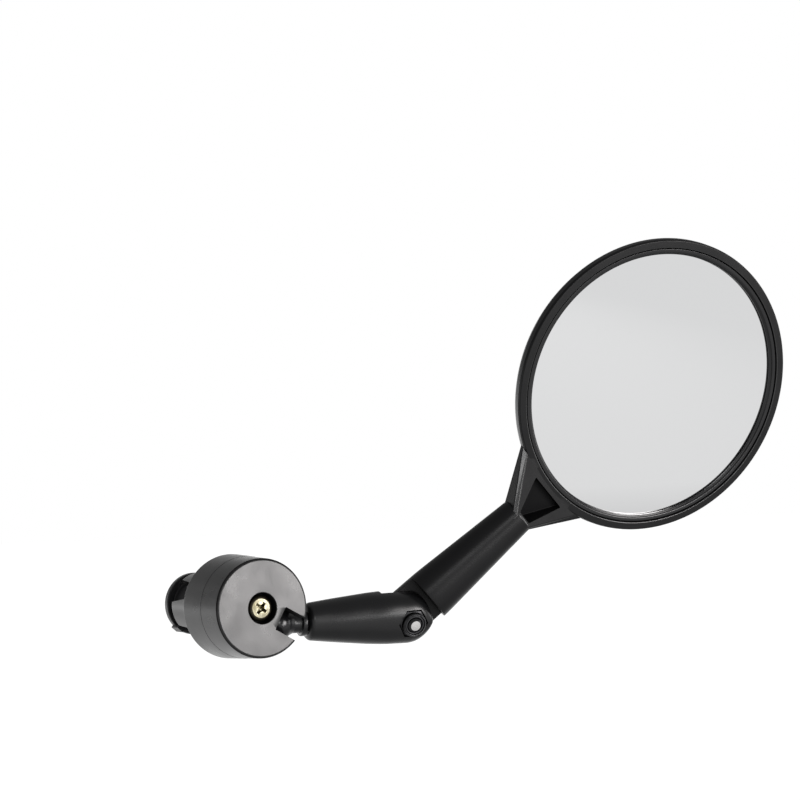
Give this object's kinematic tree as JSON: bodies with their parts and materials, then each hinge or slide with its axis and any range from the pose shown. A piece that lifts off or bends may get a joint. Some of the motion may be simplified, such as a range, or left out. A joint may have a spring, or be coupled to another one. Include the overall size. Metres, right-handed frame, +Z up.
{
  "type": "bike mirror",
  "caption": "Round convex bar-end bicycle mirror on a jointed two-piece arm, with a ball joint and an expanding plug that clamps inside the handlebar end",
  "frame": {"origin": "on the plug's axis, in the shoulder face that meets the handlebar's end", "axes": "+Y along the plug into the handlebar, so the cap and the screw's head face -Y; the lower arm leaves the head along about +X; +Z up, with the mirror above"},
  "size_m": [0.1687, 0.0899, 0.1112],
  "materials": {
    "black_plastic": "satin moulded black",
    "yellow_zinc": "yellow zinc plated",
    "bright_steel": "bright zinc plated",
    "black_steel": "black plated",
    "nylon": "satin",
    "foam": "matte foam",
    "mirror_surface": "polished, convex"
  },
  "bodies": {
    "head": {"clamp_base": "black_plastic", "clamp_cap": "black_plastic"},
    "screw": {"clamp_screw": "yellow_zinc"},
    "wedge": {"expander_wedge": "black_plastic", "wedge_nut": "bright_steel"},
    "stud": {"ball_stud": "black_plastic"},
    "lower_arm": {"lower_arm": "black_plastic", "knuckle_bolt": "bright_steel", "knuckle_nut": "black_steel", "knuckle_nut_ring": "nylon"},
    "mirror_arm": {"mirror_housing": "black_plastic", "glass_retaining_ring": "black_plastic", "mirror_glass": "mirror_surface", "glass_foam_pad": "foam"}
  },
  "joints": [
    {"name": "screw_turn", "type": "hinge", "parent": "head", "child": "screw", "pos_m": [0, 0, 0], "axis": [0, 1, 0], "range_deg": [-1440, 1440]},
    {"name": "wedge_slide", "type": "slide", "parent": "head", "child": "wedge", "axis": [0, 1, 0], "range_m": [-0.0028, 0.0028]},
    {"name": "ball_swing", "type": "hinge", "parent": "head", "child": "stud", "pos_m": [0.00857, -0.0102, -0.00475], "axis": [0, 1, 0], "range_deg": [-6, 64]},
    {"name": "arm_spin", "type": "hinge", "parent": "stud", "child": "lower_arm", "pos_m": [0.00857, -0.0102, -0.00475], "axis": [0.9928, -0.1201, 0], "continuous": true},
    {"name": "knuckle_hinge", "type": "hinge", "parent": "lower_arm", "child": "mirror_arm", "pos_m": [0.0456, -0.01468, -0.00475], "axis": [-0.1133, -0.9364, -0.3322], "range_deg": [-132.6, 47.3]}
  ],
  "couplings": [
    {"joint": "screw_turn", "follows": "wedge_slide", "rad_per_m": -8976}
  ]
}
